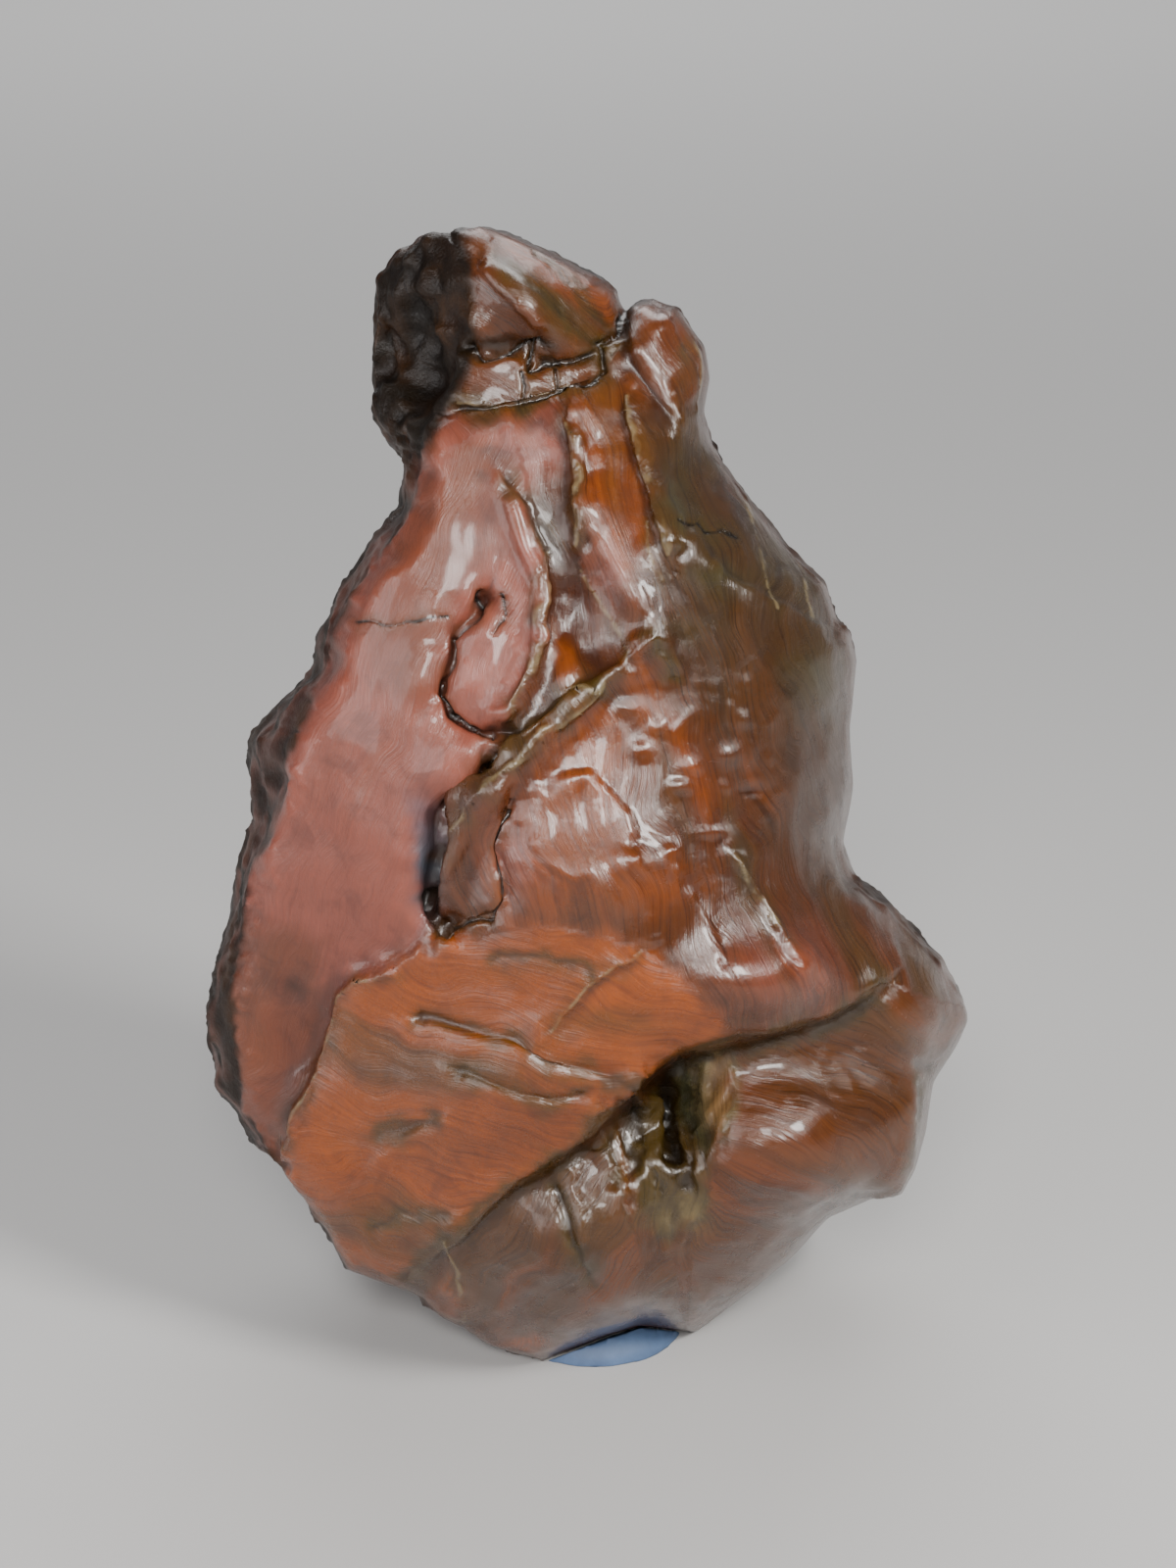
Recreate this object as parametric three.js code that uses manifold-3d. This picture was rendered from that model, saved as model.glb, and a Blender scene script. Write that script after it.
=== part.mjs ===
// A Gobi agate: one wind-polished stone that stands on its narrow foot, wedged by a wad of putty.
// Millimetres. +X is the stone's right as the viewer sees it, +Y is away from the viewer, +Z is up.
import * as THREE from "three";
import { mergeVertices } from "three/addons/utils/BufferGeometryUtils.js";
import Module from "manifold-3d";

// The stone is laid out as it looks from one eye point, on an upright sheet through its middle.
// A point [x, z] of the sheet is carried along its line of sight to its true depth y.
const EYE_BACK = 423;
const EYE_HEIGHT = 244;
const MIDDLE_X = 2;

// Clearance between the stone and the putty, and how near two points count as one.
const GAP = 0.3;
const SAME_POINT = 1e-4;

// A block larger than the stone, which stands for the floor.
const FLOOR = [400, 400, 100];

// The skin is triangles between points. Round the outline they lie in rings, the first ones at
// these shares of the full height and the last a width inside. Further in they lie on the ledges
// and seams, LINE_STEP apart, and between those in an even pattern.
const RIM_SHARES = [0.3, 0.55, 0.8];
const FRONT_RIM = 1.6;
const BACK_RIM = 5;
const LINE_STEP = 2.5;
const LINE_GAP = 0.75;
const FRONT_STEP = 2.9;
const BACK_STEP = 5.5;

// The even pattern: the part of the sheet it covers, how far its points stray, and how close a
// point may come to those before it and to the rings. Shares are of the step between points.
const PATTERN = { left: -70, right: 70, low: -20, high: 190, stray: 0.18, gap: 0.6 };
const RING_GAP = 1.375;

// Distances inside the outline are weighed over short sides of it.
const SIDE_LENGTH = 2;
const SIDE_SOFTNESS = 0.5;
const SIDE_POWER = 6;
const STRAIGHT_SIDE = (3 * Math.PI) / 8;

// How many outline points to each side tell which way inwards is.
const INSET_REACH = 3;

// The outline, clockwise from the crown. Each stretch has the depth y at which the stone turns
// from front to back, how wide the turn is on the front, and how square: 2 is round, 5 nearly flat.
const OUTLINE = [
  {
    depth: 5,
    turn: 10,
    square: 2.6,
    points: [[-15.5, 175], [-10, 173.5], [-3.5, 170.5], [1.5, 168], [4, 166], [5.5, 162.5]],
  },
  {
    depth: 8,
    turn: 7,
    square: 2.2,
    points: [[7.5, 164.5], [10, 164.5], [13, 163.5], [15, 160.5], [17, 157.5], [18, 153], [17, 148]],
  },
  {
    depth: 6,
    turn: 16,
    square: 2.2,
    points: [
      [18, 143.5], [21, 139], [24.5, 134.5], [30, 127.5], [35.5, 122], [37.5, 116.5], [39.5, 114.5],
      [40.5, 109.5], [40, 99.5], [40.5, 90], [39.5, 80.5],
    ],
  },
  {
    depth: 2,
    turn: 14,
    square: 2.3,
    points: [[41.5, 75], [47, 70.5], [51.5, 65.5], [56, 60.5], [59, 54.5], [60, 50.5], [58.5, 46.5]],
  },
  {
    depth: -4,
    turn: 9,
    square: 3,
    points: [[55, 39.5], [54, 31], [52.5, 24], [50.5, 19.5]],
  },
  {
    depth: -9,
    turn: 12,
    square: 2.4,
    points: [[46, 19], [39, 15.5], [33, 8], [27, 2], [17.5, -5.5]],
  },
  {
    depth: -16,
    turn: 10,
    square: 2.6,
    points: [[8.5, -4.5], [3, -6.5], [-4, -9.5], [-7.5, -11], [-12.5, -9.5], [-16.5, -8], [-21, -4.5]],
  },
  {
    depth: -17,
    turn: 8,
    square: 3,
    points: [[-24.5, -2.5], [-28, 1.5], [-32.5, 3], [-39.5, 6], [-42, 12], [-44.5, 16.5], [-49.5, 25]],
  },
  {
    depth: 2,
    turn: 10,
    square: 5,
    points: [[-53.5, 28.5], [-55.5, 32.5], [-58.5, 39], [-60.5, 47.5], [-59, 57.5], [-56.5, 65], [-53.5, 77]],
  },
  {
    depth: 14,
    turn: 10,
    square: 4,
    points: [[-51.5, 83.5], [-51.5, 90], [-50.5, 98], [-45, 104.5], [-40.5, 109], [-39.5, 114.5]],
  },
  {
    depth: 4,
    turn: 9,
    square: 4,
    points: [[-37.5, 119], [-32, 127.5], [-27, 134], [-26.5, 139.5]],
  },
  {
    depth: 4,
    turn: 9,
    square: 3,
    points: [[-29, 144], [-31, 148], [-31.5, 160.5], [-30.5, 168], [-28.5, 170.5], [-24, 174], [-19.5, 173.5]],
  },
];

// The flat facets of the front and the back: how far out of the sheet each lies at a point of it,
// and how fast it rises to the right and upwards. The stone is the part inside all of them.
const FRONT_FACETS = [
  { name: "centre", at: [0, 100], out: 37.5, slope: [0, -0.36] },
  { name: "cape", at: [0, 52], out: 47, slope: [0.02, 0.06] },
  { name: "cape left", at: [-30, 40], out: 41, slope: [0.5, 0.12] },
  { name: "lower front", at: [0, 10], out: 41, slope: [0, 0.35] },
  { name: "upper slab", at: [-30, 115], out: 30, slope: [0.42, -0.22] },
  { name: "lower slab", at: [-38, 75], out: 31, slope: [0.5, 0.03] },
  { name: "upper right", at: [24, 115], out: 30, slope: [-0.62, -0.18] },
  { name: "right", at: [32, 82], out: 33, slope: [-0.5, -0.22] },
  { name: "right shoulder", at: [46, 46], out: 33, slope: [-0.6, 0.1] },
  { name: "crown", at: [-8, 165], out: 21, slope: [-0.25, -1.2] },
  { name: "foot right", at: [30, 12], out: 32, slope: [-0.45, 0.4] },
  { name: "foot left", at: [-35, 14], out: 30, slope: [0.4, 0.5] },
];
const BACK_FACETS = [
  { name: "left", at: [-25, 70], out: 35, slope: [0.35, 0.05] },
  { name: "right", at: [20, 75], out: 34, slope: [-0.4, -0.02] },
  { name: "top", at: [-5, 130], out: 25, slope: [0, -0.33] },
  { name: "crown", at: [-10, 165], out: 13, slope: [0.1, -0.9] },
  { name: "low", at: [5, 20], out: 28, slope: [-0.05, 0.6] },
  { name: "low left", at: [-40, 30], out: 24, slope: [0.5, 0.3] },
  { name: "low right", at: [42, 35], out: 25, slope: [-0.5, 0.25] },
  { name: "left shoulder", at: [-35, 110], out: 25, slope: [0.5, -0.2] },
  { name: "right shoulder", at: [25, 120], out: 21, slope: [-0.5, -0.3] },
];
const FRONT_ROUNDING = 2.2;
const BACK_ROUNDING = 1.6;
const BACK_TURN = 22;
const BACK_SQUARE = 2.4;

// Where the polished face ends on the left and the rough crust begins. The third number is how
// steeply the crust falls away there.
const FACE_EDGE = [
  [-53.5, 29, 2.5], [-55, 36.5, 2.5], [-56.5, 47.5, 2.5], [-55.5, 59, 2.5], [-53, 72.5, 2.5], [-49, 80, 2.5],
  [-46, 89, 2.5], [-43, 98, 2.5], [-37.5, 109.5, 2.5], [-34, 117.5, 2.5], [-30, 126, 2.5], [-25.5, 135, 2],
  [-22, 145, 1.4], [-18.5, 148, 1], [-17, 159, 0.9], [-17.5, 165.5, 0.8], [-15.5, 174.5, 0.5],
];

// Broad swellings and hollows of the front and the back: centre, half widths and rise.
const FRONT_LUMPS = [
  { at: [13, 157], size: [8, 12], rise: -7 },
  { at: [-26, 157], size: [7, 12], rise: -6 },
  { at: [-10, 163], size: [7, 6], rise: 3 },
  { at: [-13, 152], size: [4, 3], rise: -1.5 },
  { at: [-36, 85], size: [9, 22], rise: 2 },
  { at: [-44, 46], size: [6, 9], rise: -2 },
  { at: [-14, 108], size: [5, 8], rise: 1.5 },
  { at: [-2, 116], size: [3.5, 8], rise: -2 },
  { at: [-18, 78], size: [4, 8], rise: -2 },
  { at: [8, 124], size: [5, 9], rise: 1.5 },
  { at: [26, 57], size: [16, 11], rise: 7 },
  { at: [52, 52], size: [8, 9], rise: 7 },
  { at: [-16, 36], size: [16, 13], rise: 2.5 },
  { at: [-6, 10], size: [18, 11], rise: 7 },
  { at: [35, 26], size: [16, 13], rise: 7 },
  { at: [13, 33], size: [6, 9], rise: -9 },
  { at: [5, 74], size: [14, 9], rise: 2.5 },
  { at: [15, 128], size: [8, 9], rise: 2 },
];
const BACK_LUMPS = [
  { at: [-32, 62], size: [16, 24], rise: 5 },
  { at: [18, 96], size: [14, 20], rise: -4 },
  { at: [26, 36], size: [15, 13], rise: 4 },
  { at: [-12, 132], size: [10, 14], rise: 3 },
  { at: [-2, 62], size: [9, 18], rise: -4 },
  { at: [-20, 20], size: [12, 10], rise: 3 },
];

// Ledges: the stone drops on one side of a line, by the third number of each point, in mm.
// It drops over "lip" and rises again over "reach". Points run with the low side on their left.
const LEDGES = [
  {
    name: "cape hem",
    lip: 0.9,
    reach: 13,
    line: [
      [50, 62, 0], [46.5, 57.5, 2], [44, 54.5, 3], [38.5, 51, 4.5], [32.5, 49, 5], [23, 47, 7], [14, 44.5, 11],
      [8, 39, 11], [1.5, 31.5, 7.5], [-6, 25, 4.5], [-12.5, 20.5, 3.5], [-20.5, 13, 3], [-27, 7, 2], [-31, 3, 1.5],
    ],
  },
  {
    name: "cape crest",
    lip: 0.7,
    reach: 7,
    line: [[-48.5, 24.5, 2], [-47, 35, 2], [-39.5, 49, 2], [-36, 58, 2], [-28, 62, 1.2], [-22, 64.5, 0]],
  },
  {
    name: "ear",
    lip: 1.5,
    reach: 16,
    line: [[24, 128, 0], [18, 139, 2], [12.5, 149, 3], [7, 157, 4], [5.5, 164, 4]],
  },
];

// Narrow ridges (positive) and cracks (negative): height and half width in mm.
const SEAMS = [
  {
    name: "neck crack",
    rise: -1.6,
    width: 1.3,
    line: [[-21, 147.5], [-14.5, 148.5], [-8, 150], [0, 152.5], [2, 154], [1.5, 158], [5, 159.5], [5.5, 163]],
  },
  {
    name: "head crack",
    rise: -1.6,
    width: 1.4,
    line: [[-18, 156.5], [-11.5, 158], [-8, 155.5], [0, 156]],
  },
  { name: "head ridge", rise: 1.6, width: 2, line: [[-15.5, 168], [-12, 167], [-8.5, 163], [-6.5, 159]] },
  {
    name: "upper fissure",
    rise: -2.6,
    width: 1.3,
    line: [[-15, 119.5], [-20, 114], [-20, 111], [-22, 103.5], [-21, 101], [-18, 99], [-12, 98.5]],
  },
  {
    name: "lower fissure",
    rise: -4,
    width: 1.4,
    line: [[-15.5, 92.5], [-21.5, 88.5], [-23.5, 85], [-23.5, 79], [-24.5, 74], [-24, 69.5], [-21.5, 67]],
  },
  { name: "leaf tail", rise: -1.4, width: 1.1, line: [[-21.5, 67], [-14.5, 69], [-12.5, 72], [-14, 81], [-12, 88]] },
  {
    name: "panel lip",
    rise: 1.5,
    width: 1.2,
    line: [[-11.5, 136.5], [-9.5, 127.5], [-7, 123], [-7, 115], [-8, 108], [-10.5, 102.5], [-14, 100.5]],
  },
  { name: "centre ridge", rise: 1.8, width: 1.3, line: [[-3, 150], [-2, 146.5], [-2, 139.5], [-1.5, 128.5]] },
  { name: "right ridge", rise: 1.4, width: 1.2, line: [[6, 149], [7, 145], [8.5, 139.5], [11, 132.5], [12, 127]] },
  {
    name: "vein",
    rise: 1.5,
    width: 1.6,
    line: [[9.5, 113.5], [6, 110], [0, 105], [-5, 100], [-10.5, 94], [-17.5, 84], [-21, 78.5], [-23, 73]],
  },
  { name: "nose", rise: 2, width: 2.4, line: [[0, 133.5], [6, 121.5], [10, 115], [12, 110]] },
  { name: "upper wrinkle", rise: -0.9, width: 1.4, line: [[-26, 51], [-12.5, 47.5], [-6, 44], [6, 40.5]] },
  { name: "lower wrinkle", rise: -0.7, width: 1.4, line: [[-20, 42], [-12.5, 39], [-6, 37], [0, 38]] },
  { name: "belly ridge", rise: 1.2, width: 1.6, line: [[22.5, 78.5], [25, 73], [29, 66.5], [34, 57.5]] },
  { name: "lobe crease", rise: -1.4, width: 1.6, line: [[-5, 21], [-3, 15], [-1.5, 9.5], [1, 4]] },
  { name: "bevel", rise: 1, width: 1.6, line: [[53.5, 39.5], [51.5, 31.5], [49, 20]] },
  { name: "hollow post", rise: 3, width: 2, line: [[7, 40], [10, 33], [12, 24]] },
];

// Rough crust on the left wall, the hollow of the head and the back: the size of its lumps, their
// height, and how far in from the edge they reach it.
const CRUST_SCALE = 7;
const CRUST_RISE = 1.7;
const CRUST_START = { front: 2, back: 3 };

// The wad of putty under the front of the foot, and how far from the foot's middle it reaches.
const PUTTY = { at: [1, -6, 0], size: [14.5, 14.5, 7], smooth: [32, 16], reach: 15 };

const STONE_LOOK = { color: 0x9c4a2c, roughness: 0.3, metalness: 0 };
const PUTTY_LOOK = { color: 0x6f8197, roughness: 0.7, metalness: 0 };

const { clamp, lerp, smoothstep } = THREE.MathUtils;

const bell = (distance) => Math.exp(-distance * distance);

// The nearest point of a line to [x, z]: its distance, on which side of the line [x, z] lies
// (1 is left), and the line's third number there.
function nearest(line, x, z) {
  let best = { distance: Infinity };
  for (let i = 1; i < line.length; i++) {
    const [ax, az, av = 1] = line[i - 1];
    const [bx, bz, bv = 1] = line[i];
    const [dx, dz] = [bx - ax, bz - az];
    const share = clamp(((x - ax) * dx + (z - az) * dz) / (dx * dx + dz * dz), 0, 1);
    const distance = Math.hypot(x - ax - share * dx, z - az - share * dz);
    if (distance < best.distance) {
      const side = Math.sign(dx * (z - az) - dz * (x - ax)) || 1;
      best = { distance, side, amount: lerp(av, bv, share) };
    }
  }
  return best;
}

// Smooth noise from -1 to 1, from numbers fixed to the corners of a grid.
function cornerValue(i, j, k) {
  const wave = Math.sin(i * 127.1 + j * 311.7 + k * 74.7) * 43758.5453;
  return 2 * (wave - Math.floor(wave)) - 1;
}

function noise(point, scale) {
  const [x, y, z] = point.toArray().map((v) => v / scale);
  const [i, j, k] = [Math.floor(x), Math.floor(y), Math.floor(z)];
  const [u, v, w] = [smoothstep(x - i, 0, 1), smoothstep(y - j, 0, 1), smoothstep(z - k, 0, 1)];
  const row = (dj, dk) => lerp(cornerValue(i, j + dj, k + dk), cornerValue(i + 1, j + dj, k + dk), u);
  return lerp(lerp(row(0, 0), row(1, 0), v), lerp(row(0, 1), row(1, 1), v), w);
}

// Points along a line, every corner among them, no further apart than a step.
function stops(line, step) {
  return line.slice(1).reduce(
    (list, [bx, bz]) => {
      const [ax, az] = list[list.length - 1];
      const count = Math.ceil(Math.hypot(bx - ax, bz - az) / step);
      const between = Array.from({ length: count }, (_, i) => (i + 1) / count);
      return [...list, ...between.map((share) => [lerp(ax, bx, share), lerp(az, bz, share)])];
    },
    [line[0].slice(0, 2)],
  );
}

// The same line moved to its left by a distance.
function beside(line, distance) {
  return line.map(([x, z], i) => {
    const [ax, az] = line[Math.max(i - 1, 0)];
    const [bx, bz] = line[Math.min(i + 1, line.length - 1)];
    const size = Math.hypot(bx - ax, bz - az);
    return [x - (distance * (bz - az)) / size, z + (distance * (bx - ax)) / size];
  });
}

// The outline's sides, each with its middle, its length and the turn of its stretch.
const corners = OUTLINE.flatMap(({ points, ...turn }) => points.map((at) => ({ at, turn })));
const sides = corners.flatMap(({ at: [ax, az], turn }, i) => {
  const [bx, bz] = corners[(i + 1) % corners.length].at;
  const count = Math.ceil(Math.hypot(bx - ax, bz - az) / SIDE_LENGTH);
  const length = Math.hypot(bx - ax, bz - az) / count;
  return Array.from({ length: count }, (_, k) => {
    const share = (k + 0.5) / count;
    return { x: lerp(ax, bx, share), z: lerp(az, bz, share), length, turn };
  });
});

// How far inside the outline a point of the sheet is, and the turn of the outline near it.
// Each side counts by its length over its distance to a high power, which rounds the corners.
function inside(x, z) {
  let total = 0;
  const mean = { depth: 0, turn: 0, square: 0 };
  for (const { x: sx, z: sz, length, turn } of sides) {
    const weight = length / (Math.hypot(x - sx, z - sz) + SIDE_SOFTNESS) ** SIDE_POWER;
    total += weight;
    for (const key in mean) mean[key] += weight * turn[key];
  }
  for (const key in mean) mean[key] /= total;
  return { ...mean, distance: (total / STRAIGHT_SIDE) ** (-1 / (SIDE_POWER - 1)) };
}

// The surface inside all facets, with its edges rounded.
function facets(list, rounding, x, z) {
  const total = list.reduce((sum, { at, out, slope }) => {
    const distance = out + slope[0] * (x - at[0]) + slope[1] * (z - at[1]);
    return sum + Math.exp(-distance / rounding);
  }, 0);
  return -rounding * Math.log(total);
}

function lumps(list, x, z) {
  return list.reduce(
    (sum, { at, size, rise }) => sum + rise * bell(Math.hypot((x - at[0]) / size[0], (z - at[1]) / size[1])),
    0,
  );
}

function ledges(x, z) {
  return LEDGES.reduce((sum, { line, lip, reach }) => {
    const { distance, side, amount } = nearest(line, x, z);
    if (side < 0) return sum;
    return sum - amount * smoothstep(distance, 0, lip) * bell(distance / reach);
  }, 0);
}

function seams(x, z) {
  return SEAMS.reduce((sum, { line, rise, width }) => {
    return sum + rise * bell(nearest(line, x, z).distance / width);
  }, 0);
}

// How far past the edge of the polished face a point lies, in mm, and how far it has fallen.
function pastFace(x, z) {
  const { distance, side, amount } = nearest(FACE_EDGE, x, z);
  const past = side > 0 && z > FACE_EDGE[0][1];
  return past ? { distance, drop: distance * amount } : { distance: 0, drop: 0 };
}

function front(x, z) {
  const form = facets(FRONT_FACETS, FRONT_ROUNDING, x, z) + lumps(FRONT_LUMPS, x, z);
  return form + ledges(x, z) + seams(x, z) - pastFace(x, z).drop;
}

function back(x, z) {
  return facets(BACK_FACETS, BACK_ROUNDING, x, z) + lumps(BACK_LUMPS, x, z);
}

// Carries a point of the sheet along its line of sight to depth y.
function place(x, z, y) {
  const share = 1 + y / EYE_BACK;
  return new THREE.Vector3(x * share, y, EYE_HEIGHT + (z - EYE_HEIGHT) * share);
}

// The share of its full height that the surface has at a distance inside the outline.
function turned(distance, turn, square) {
  return (1 - (1 - clamp(distance / turn, 0, 1)) ** square) ** (1 / square);
}

// How far inside the outline the surface has a share of its full height.
function turnedAt(share, turn, square) {
  return turn * (1 - (1 - share ** square) ** (1 / square));
}

// The point of the stone's surface at [x, z], a distance inside the outline: side is 1 on the
// front and -1 on the back.
function surface(x, z, side, distance) {
  const rim = inside(x, z);
  const share = side > 0 ? turned(distance, rim.turn, rim.square) : turned(distance, BACK_TURN, BACK_SQUARE);
  const point = place(x, z, lerp(rim.depth, side > 0 ? -front(x, z) : back(x, z), share));
  const { front: frontStart, back: backStart } = CRUST_START;
  const crust = side > 0 ? smoothstep(pastFace(x, z).distance, 0, frontStart) : smoothstep(distance, 0, backStart);
  const outward = new THREE.Vector3(point.x - MIDDLE_X, point.y, 0).normalize();
  const rough = CRUST_RISE * crust * (noise(point, CRUST_SCALE) + 0.5 * noise(point, CRUST_SCALE / 2));
  return point.addScaledVector(outward, rough);
}

// The outline's points moved inwards, each by a distance of its own, square to the outline near it.
function inset(loop, distances) {
  const count = loop.length;
  return loop.map(([x, z], i) => {
    const [ax, az] = loop[(i - INSET_REACH + count) % count];
    const [bx, bz] = loop[(i + INSET_REACH) % count];
    const size = Math.hypot(bx - ax, bz - az);
    return [x + (distances[i] * (bz - az)) / size, z - (distances[i] * (bx - ax)) / size];
  });
}

function contains(loop, [x, z]) {
  return loop.reduce((within, [ax, az], i) => {
    const [bx, bz] = loop[(i + 1) % loop.length];
    const crosses = az > z !== bz > z && x < ax + ((z - az) / (bz - az)) * (bx - ax);
    return crosses ? !within : within;
  }, false);
}

// The ledges and seams of the front, with the lines beside them where their slopes end.
function frontLines() {
  const ledgeLines = LEDGES.flatMap(({ line, lip }) => [line, beside(line, lip)]);
  const seamLines = SEAMS.flatMap(({ line, width }) => [line, beside(line, width), beside(line, -width)]);
  return [...ledgeLines, FACE_EDGE, ...seamLines];
}

// Points inside a ring: those of the lines, and between them a pattern of triangles a step wide.
function innerPoints(ring, lines, step) {
  const points = [];
  const add = (point, gap) => {
    const near = ([x, z]) => Math.hypot(x - point[0], z - point[1]) < gap;
    const clear = nearest([...ring, ring[0]], ...point).distance > RING_GAP;
    if (clear && contains(ring, point) && !points.some(near)) points.push(point);
  };
  for (const line of lines) for (const point of stops(line, LINE_STEP)) add(point, LINE_GAP);
  const { left, right, low, high, stray, gap } = PATTERN;
  const rise = step * Math.sqrt(0.75);
  for (let row = 0; low + row * rise < high; row++) {
    for (let column = 0; left + column * step < right; column++) {
      const shift = [1, 2].map((seed) => cornerValue(row, column, seed) * step * stray);
      const x = left + (column + (row % 2) / 2) * step + shift[0];
      add([x, low + row * rise + shift[1]], step * gap);
    }
  }
  return points;
}

// Delaunay triangles of points on a plane, added one at a time.
function triangulate(points) {
  const far = 1e4; // well outside all points, in mm
  const count = points.length;
  const all = [...points, [-far, -far], [far, -far], [0, far]];
  const circled = (ring) => {
    const [[ax, ay], [bx, by], [cx, cy]] = ring.map((i) => all[i]);
    const [b, c] = [[bx - ax, by - ay], [cx - ax, cy - ay]];
    const [bb, cc] = [b[0] ** 2 + b[1] ** 2, c[0] ** 2 + c[1] ** 2];
    const cross = 2 * (b[0] * c[1] - b[1] * c[0]);
    const [x, y] = [(c[1] * bb - b[1] * cc) / cross, (b[0] * cc - c[0] * bb) / cross];
    return { ring, x: ax + x, y: ay + y, square: x * x + y * y };
  };
  let triangles = [circled([count, count + 1, count + 2])];
  points.forEach(([px, py], i) => {
    const hit = ({ x, y, square }) => (px - x) ** 2 + (py - y) ** 2 < square;
    const edges = new Map();
    for (const { ring } of triangles.filter(hit)) {
      ring.forEach((a, k) => {
        const b = ring[(k + 1) % 3];
        if (!edges.delete(`${b} ${a}`)) edges.set(`${a} ${b}`, [a, b]);
      });
    }
    triangles = triangles.filter((triangle) => !hit(triangle));
    for (const [a, b] of edges.values()) triangles.push(circled([a, b, i]));
  });
  return triangles.map(({ ring }) => ring).filter((ring) => Math.max(...ring) < count);
}

// One half of the skin: its places in space and its triangles. The first places are the outline's.
function half(side, lines, step, width) {
  const loop = corners.map(({ at }) => at);
  const rim = stops([...loop, loop[0]], LINE_STEP).slice(0, -1);
  const count = rim.length;
  const turns = rim.map(([x, z]) => (side > 0 ? inside(x, z) : { turn: BACK_TURN, square: BACK_SQUARE }));
  const distances = [
    ...RIM_SHARES.map((share, k) => {
      const limit = (width * (k + 1)) / (RIM_SHARES.length + 1);
      return turns.map(({ turn, square }) => Math.min(turnedAt(share, turn, square), limit));
    }),
    rim.map(() => width),
  ];
  const rings = distances.map((list) => inset(rim, list));
  const last = rings[rings.length - 1];
  const inner = innerPoints(last, lines, step);
  const places = [
    ...rim.map(([x, z]) => surface(x, z, side, 0)),
    ...rings.flatMap((ring, k) => ring.map(([x, z], i) => surface(x, z, side, distances[k][i]))),
    ...inner.map(([x, z]) => surface(x, z, side, Math.max(inside(x, z).distance, width))),
  ];
  const strips = rings.flatMap((_, k) =>
    rim.flatMap((_, i) => {
      const next = (i + 1) % count;
      const [a, b, c, d] = [k * count + i, k * count + next, (k + 1) * count + next, (k + 1) * count + i];
      return [[a, d, b], [b, d, c]];
    }),
  );
  const flat = [...last, ...inner];
  const middle = (ring) => [0, 1].map((axis) => ring.reduce((sum, i) => sum + flat[i][axis] / 3, 0));
  const filled = triangulate(flat).filter((ring) => contains(last, middle(ring)));
  const triangles = [...strips, ...filled.map((ring) => ring.map((i) => i + rings.length * count))];
  return { places, triangles: side > 0 ? triangles : triangles.map(([a, b, c]) => [a, c, b]), count };
}

const wasm = await Module();
wasm.setup();

function solidOf(geometry) {
  const bare = geometry.clone();
  bare.deleteAttribute("normal");
  bare.deleteAttribute("uv");
  const merged = mergeVertices(bare, SAME_POINT);
  return new wasm.Manifold(
    new wasm.Mesh({
      numProp: 3,
      vertProperties: merged.attributes.position.array,
      triVerts: new Uint32Array(merged.index.array),
    }),
  );
}

function geometryOf(solid) {
  const { vertProperties, triVerts } = solid.getMesh();
  const geometry = new THREE.BufferGeometry();
  geometry.setAttribute("position", new THREE.BufferAttribute(vertProperties, 3));
  geometry.setIndex(new THREE.BufferAttribute(triVerts, 1));
  geometry.computeVertexNormals();
  return geometry;
}

// A block that fills everything under the surface the stone stands on.
function underfloor() {
  return solidOf(new THREE.BoxGeometry(...FLOOR).translate(0, 0, -FLOOR[2] / 2));
}

function makeStone() {
  const face = half(1, frontLines(), FRONT_STEP, FRONT_RIM);
  const rear = half(-1, [], BACK_STEP, BACK_RIM);
  const shift = face.places.length - face.count;
  const joined = rear.triangles.map((ring) => ring.map((i) => (i < rear.count ? i : i + shift)));
  const geometry = new THREE.BufferGeometry().setFromPoints([...face.places, ...rear.places.slice(rear.count)]);
  geometry.setIndex([...face.triangles, ...joined].flat());
  return solidOf(geometry).subtract(underfloor());
}

function makePutty(stone) {
  const wad = new THREE.SphereGeometry(1, ...PUTTY.smooth).scale(...PUTTY.size).translate(...PUTTY.at);
  const pressed = solidOf(wad).subtract(underfloor());
  const grown = 1 + GAP / PUTTY.reach;
  const clearance = stone.scale([grown, grown, 1]).translate([0, 0, -GAP]);
  return pressed.subtract(clearance);
}

const stone = makeStone();
const putty = makePutty(stone);

// The row's origin is under the middle of the whole, on the surface it stands on.
const bounds = new THREE.Box3().setFromBufferAttribute(geometryOf(stone).attributes.position);
const shift = bounds.getCenter(new THREE.Vector3()).setZ(0).negate();

function piece(name, solid, look) {
  const mesh = new THREE.Mesh(geometryOf(solid), new THREE.MeshStandardMaterial(look));
  mesh.name = name;
  mesh.position.copy(shift);
  return mesh;
}

const agate = new THREE.Group();
agate.add(piece("stone", stone, STONE_LOOK));
agate.add(piece("putty_pad", putty, PUTTY_LOOK));

export default agate;
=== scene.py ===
# Finish of the Gobi agate: a fine skin over the stone, its colours, and the wad of putty.
import math

import bmesh
import bpy
import numpy as np
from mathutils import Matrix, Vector, noise


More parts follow.
